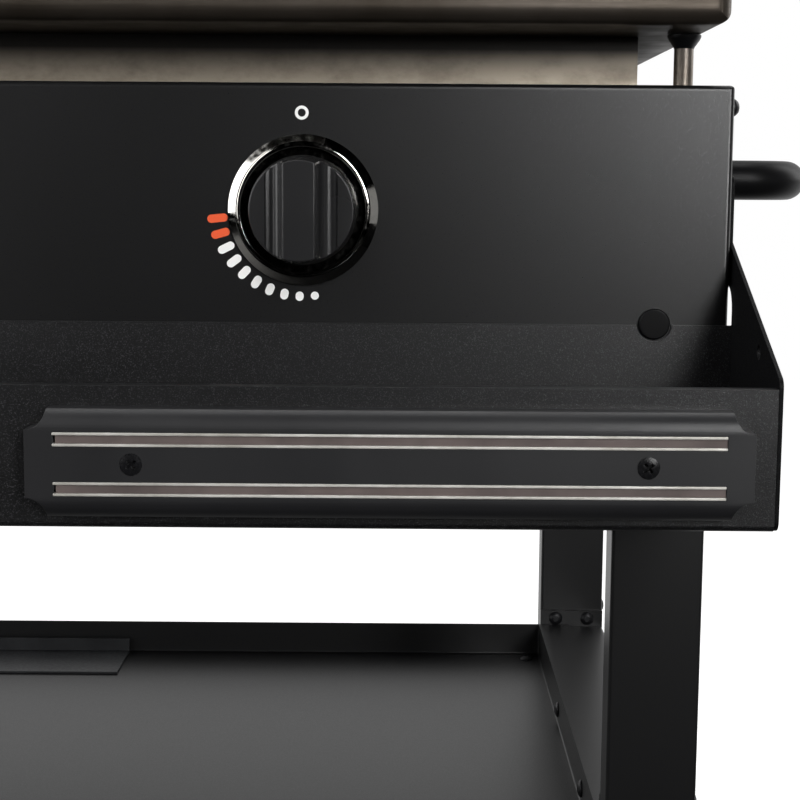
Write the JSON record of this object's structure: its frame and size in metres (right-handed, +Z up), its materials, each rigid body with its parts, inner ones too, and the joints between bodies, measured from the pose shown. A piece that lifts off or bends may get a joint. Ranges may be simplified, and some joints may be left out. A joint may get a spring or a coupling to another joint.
{
  "type": "outdoor gas griddle station",
  "caption": "Flat-top gas griddle on a tube-steel cart: hinged hood, lift-off steel plate, push-and-turn knobs, front tool shelf with magnetic bar, lower tray, lifting handle, wheels.",
  "frame": {"origin": "on the floor under the middle of the whole outline", "axes": "+Z up, the control panel and tool shelf face -Y, +X towards the lifting handle"},
  "size_m": [0.8926, 0.7484, 1.104],
  "materials": {
    "textured_black": "satin black powder coat with a fine texture",
    "bolt_black": "black oxide on steel",
    "bar_black": "satin moulded black plastic",
    "knob_black": "glossy moulded black plastic",
    "dark_chrome": "dark mirror chrome",
    "strip_steel": "bright brushed steel",
    "magnet_brown": "brown-grey bonded magnet",
    "rolled_steel": "bare rolled steel, lightly oiled",
    "skirt_steel": "rolled steel strip, heat tinted",
    "aluminised_steel": "aluminised sheet steel",
    "burner_steel": "drawn stainless steel tube",
    "plated_steel": "zinc plated steel",
    "fitting_brass": "turned brass",
    "ceramic": "glazed white ceramic",
    "cap_black": "black pressed cap",
    "wheel_plastic": "moulded dark plastic",
    "tyre_rubber": "ribbed black rubber",
    "foot_rubber": "moulded black rubber",
    "handle_black": "smooth satin black powder coat",
    "handle_steel": "brushed stainless tube"
  },
  "bodies": {
    "cart": {"control_panel": "textured_black", "side_panel_left": "textured_black", "side_panel_right": "textured_black", "rear_panel": "textured_black", "heat_shield": "aluminised_steel", "burner_left": "burner_steel", "burner_right": "burner_steel", "burner_supports": "aluminised_steel", "gas_manifold": "plated_steel", "gas_inlet_fitting": "fitting_brass", "valve_body_left": "fitting_brass", "valve_body_right": "fitting_brass", "igniter_electrodes": "ceramic", "bezel_left": "dark_chrome", "bezel_right": "dark_chrome", "shelf_pan": "textured_black", "gusset_left": "textured_black", "gusset_right": "textured_black", "shelf_screws": "bolt_black", "body_screws": "bolt_black", "magnet_bar_housing": "bar_black", "steel_strips": "strip_steel", "magnets": "magnet_brown", "bar_screws": "bolt_black", "leg_front_left": "textured_black", "leg_front_right": "textured_black", "leg_rear_left": "textured_black", "leg_rear_right": "textured_black", "leg_bolts": "bolt_black", "side_rail_left": "textured_black", "side_rail_right": "textured_black", "lower_shelf": "textured_black", "cylinder_rest": "textured_black", "tray_bolts": "bolt_black", "axle": "plated_steel", "axle_caps": "cap_black", "levelling_feet": "foot_rubber", "side_handle": "handle_black", "handle_bolts": "bolt_black", "levelling_posts": "plated_steel", "grease_runners": "aluminised_steel"},
    "griddle": {"griddle_plate": "rolled_steel", "wind_skirts": "skirt_steel", "hinge_brackets": "textured_black", "hinge_pins": "plated_steel"},
    "hood": {"hood_shell": "textured_black", "hood_end_left": "textured_black", "hood_end_right": "textured_black", "hood_handle": "handle_steel", "hood_hinge_leaves": "textured_black", "hood_bumpers": "foot_rubber"},
    "cup": {"grease_cup": "aluminised_steel"},
    "stem_left": {"valve_stem_left": "plated_steel"},
    "stem_right": {"valve_stem_right": "plated_steel"},
    "knob_left": {"knob_left": "knob_black"},
    "knob_right": {"knob_right": "knob_black"},
    "wheel_front": {"wheel_front": "wheel_plastic", "tyre_front": "tyre_rubber"},
    "wheel_rear": {"wheel_rear": "wheel_plastic", "tyre_rear": "tyre_rubber"}
  },
  "joints": [
    {"name": "griddle_lift", "type": "slide", "parent": "cart", "child": "griddle", "axis": [0, 0, 1], "range_m": [0, 0.06]},
    {"name": "hood_hinge", "type": "hinge", "parent": "griddle", "child": "hood", "pos_m": [-0.0007, 0.30025, 0.94], "axis": [-1, 0, 0], "range_deg": [0, 100]},
    {"name": "cup_slide", "type": "slide", "parent": "cart", "child": "cup", "axis": [0, 1, 0], "range_m": [0, 0.09]},
    {"name": "knob_left_turn", "type": "hinge", "parent": "cart", "child": "stem_left", "pos_m": [-0.1652, -0.24775, 0.8063], "axis": [0, -1, 0], "range_deg": [0, 188]},
    {"name": "knob_left_push", "type": "slide", "parent": "stem_left", "child": "knob_left", "axis": [0, 1, 0], "range_m": [0, 0.004], "stiffness_N_per_m": 600},
    {"name": "knob_right_turn", "type": "hinge", "parent": "cart", "child": "stem_right", "pos_m": [0.1638, -0.24775, 0.8063], "axis": [0, -1, 0], "range_deg": [0, 188]},
    {"name": "knob_right_push", "type": "slide", "parent": "stem_right", "child": "knob_right", "axis": [0, 1, 0], "range_m": [0, 0.004], "stiffness_N_per_m": 600},
    {"name": "wheel_front_spin", "type": "hinge", "parent": "cart", "child": "wheel_front", "pos_m": [-0.3573, -0.22175, 0.089], "axis": [0, 1, 0], "continuous": true},
    {"name": "wheel_rear_spin", "type": "hinge", "parent": "cart", "child": "wheel_rear", "pos_m": [-0.3573, 0.27665, 0.089], "axis": [0, 1, 0], "continuous": true}
  ]
}
